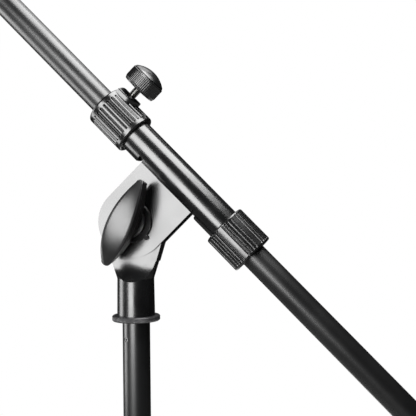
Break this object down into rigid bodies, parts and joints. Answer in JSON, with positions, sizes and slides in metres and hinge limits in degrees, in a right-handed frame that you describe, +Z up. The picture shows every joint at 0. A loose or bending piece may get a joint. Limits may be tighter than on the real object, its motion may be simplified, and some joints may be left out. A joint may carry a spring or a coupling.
{
  "type": "boom microphone stand",
  "caption": "Folding tripod stand with a telescoping mast and a tilting boom held in a rolled steel sleeve clamp with a wing handle and two collars.",
  "frame": {"origin": "on the floor under the mast's axis, at the centre of the whole stand's footprint", "axes": "+Z up along the mast; the boom lies in the XZ plane with its microphone end towards -X and up and its tail towards +X and down; the wing handle of the clamp is on the -Y side; one leg points to +X"},
  "size_m": [0.6945, 0.6054, 1.5185],
  "materials": {
    "black_steel_tube": "satin black powder coat on steel tube",
    "boom_steel_tube": "satin black powder coat on steel tube",
    "clamp_sheet": "satin dark grey coat on rolled steel sheet",
    "cast_swivel": "satin black coat on a zinc casting",
    "knurled_nut": "blackened knurled steel",
    "cast_hub": "satin black coat on a zinc casting",
    "wing_plastic": "fine satin black nylon",
    "knob_plastic": "satin black nylon",
    "collar_plastic": "satin black nylon",
    "inner_plastic": "plain black nylon",
    "rubber": "matte black rubber",
    "plated_steel": "zinc-plated steel",
    "black_washer": "black oxide steel",
    "fibre": "brown vulcanised fibre",
    "brass": "turned brass",
    "tip_metal": "satin black coat on turned steel"
  },
  "bodies": {
    "hub": {"base_hub": "cast_hub", "leg_pins": "plated_steel"},
    "hub_clamp": {"hub_screw": "plated_steel", "hub_knob": "knob_plastic"},
    "leg_1": {"leg_knuckle_1": "inner_plastic", "leg_tube_1": "black_steel_tube", "rubber_foot_1": "rubber"},
    "leg_2": {"leg_knuckle_2": "inner_plastic", "leg_tube_2": "black_steel_tube", "rubber_foot_2": "rubber"},
    "leg_3": {"leg_knuckle_3": "inner_plastic", "leg_tube_3": "black_steel_tube", "rubber_foot_3": "rubber"},
    "lower_mast": {"lower_tube": "black_steel_tube", "lower_tube_plug": "inner_plastic", "clutch_base": "collar_plastic", "mast_collet": "inner_plastic"},
    "clutch": {"clutch_nut": "collar_plastic"},
    "glide": {"mast_glide": "inner_plastic"},
    "upper_mast": {"upper_tube": "black_steel_tube", "top_stud": "plated_steel", "set_screw": "plated_steel", "swivel_base": "cast_swivel", "friction_washers": "fibre"},
    "lock_nut": {"jam_nut": "knurled_nut"},
    "clamp": {"boom_clamp": "clamp_sheet", "pivot_bolt": "plated_steel", "flange_washer": "black_washer", "rear_collar": "collar_plastic", "collar_insert": "brass", "rear_liner": "inner_plastic", "front_liner": "inner_plastic"},
    "wing": {"wing_handle": "wing_plastic", "wing_insert": "brass"},
    "thumb": {"thumb_screw": "plated_steel", "thumb_knob": "knob_plastic"},
    "twist": {"twist_collar": "collar_plastic"},
    "collet": {"boom_collet": "inner_plastic"},
    "boom": {"boom_tube": "boom_steel_tube", "boom_end_cap": "rubber", "tip_fitting": "tip_metal", "mic_thread": "plated_steel"}
  },
  "joints": [
    {"name": "leg_1_fold", "type": "hinge", "parent": "hub", "child": "leg_1", "pos_m": [0.031, 0, 0.12051], "axis": [0, 1, 0], "range_deg": [0, 70]},
    {"name": "leg_2_fold", "type": "hinge", "parent": "hub", "child": "leg_2", "pos_m": [-0.0155, 0.02685, 0.12051], "axis": [-0.866, -0.5, 0], "range_deg": [0, 70]},
    {"name": "leg_3_fold", "type": "hinge", "parent": "hub", "child": "leg_3", "pos_m": [-0.0155, -0.02685, 0.12051], "axis": [0.866, -0.5, 0], "range_deg": [0, 70]},
    {"name": "hub_clamp_turn", "type": "hinge", "parent": "hub", "child": "hub_clamp", "pos_m": [0, 0, 0.16151], "axis": [0.5, -0.866, 0], "range_deg": [-540, 0]},
    {"name": "base_slide", "type": "slide", "parent": "hub", "child": "lower_mast", "axis": [0, 0, 1], "range_m": [-0.3, 0.015]},
    {"name": "clutch_turn", "type": "hinge", "parent": "lower_mast", "child": "clutch", "pos_m": [0, 0, 0.68], "axis": [0, 0, 1], "range_deg": [0, 270]},
    {"name": "mast_slide", "type": "slide", "parent": "lower_mast", "child": "glide", "axis": [0, 0, 1], "range_m": [-0.27, 0.21]},
    {"name": "mast_turn", "type": "hinge", "parent": "glide", "child": "upper_mast", "pos_m": [0, 0, 0.6], "axis": [0, 0, 1], "continuous": true},
    {"name": "jam_nut_turn", "type": "hinge", "parent": "upper_mast", "child": "lock_nut", "pos_m": [0, 0, 1.03], "axis": [0, 0, 1], "range_deg": [-360, 0]},
    {"name": "boom_tilt", "type": "hinge", "parent": "upper_mast", "child": "clamp", "pos_m": [0, 0, 1.1], "axis": [0, 1, 0], "range_deg": [-135, 44]},
    {"name": "wing_turn", "type": "hinge", "parent": "clamp", "child": "wing", "pos_m": [0, -0.02, 1.1], "axis": [0, -1, 0], "range_deg": [0, 540]},
    {"name": "thumb_turn", "type": "hinge", "parent": "clamp", "child": "thumb", "pos_m": [0.00685, 0, 1.19992], "axis": [0.7145, 0, 0.6997], "range_deg": [0, 720]},
    {"name": "twist_turn", "type": "hinge", "parent": "clamp", "child": "twist", "pos_m": [0.07539, 0, 1.08705], "axis": [0.6997, 0, -0.7145], "range_deg": [0, 270]},
    {"name": "boom_roll", "type": "hinge", "parent": "clamp", "child": "collet", "pos_m": [0.07399, 0, 1.08848], "axis": [0.6997, 0, -0.7145], "continuous": true},
    {"name": "boom_slide", "type": "slide", "parent": "collet", "child": "boom", "axis": [0.6997, 0, -0.7145], "range_m": [-0.2, 0.42]}
  ]
}
